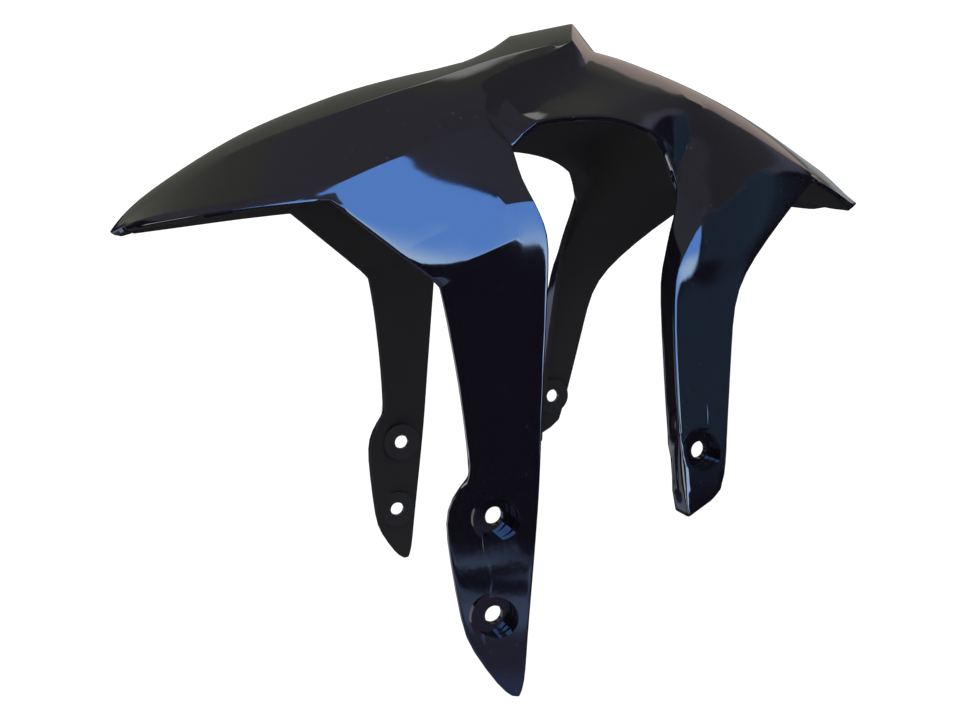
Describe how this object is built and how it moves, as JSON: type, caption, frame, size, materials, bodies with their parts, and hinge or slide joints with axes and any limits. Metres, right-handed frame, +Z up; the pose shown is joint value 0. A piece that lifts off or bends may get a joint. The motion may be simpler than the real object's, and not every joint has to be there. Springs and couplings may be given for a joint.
{
  "type": "motorcycle front mudguard",
  "caption": "Gloss black moulded front mudguard for a motorcycle, with a raised wedge on the crown and two long legs on each side with sunk bolt seats.",
  "frame": {"origin": "centre of the bounding box, on the plane of symmetry", "axes": "+X forwards to the nose, +Y to the rider's left, +Z up, as fitted over the wheel"},
  "size_m": [0.425, 0.1914, 0.3207],
  "materials": {
    "gloss_black": "gloss"
  },
  "bodies": {
    "root": {"mudguard": "gloss_black"}
  },
  "joints": []
}
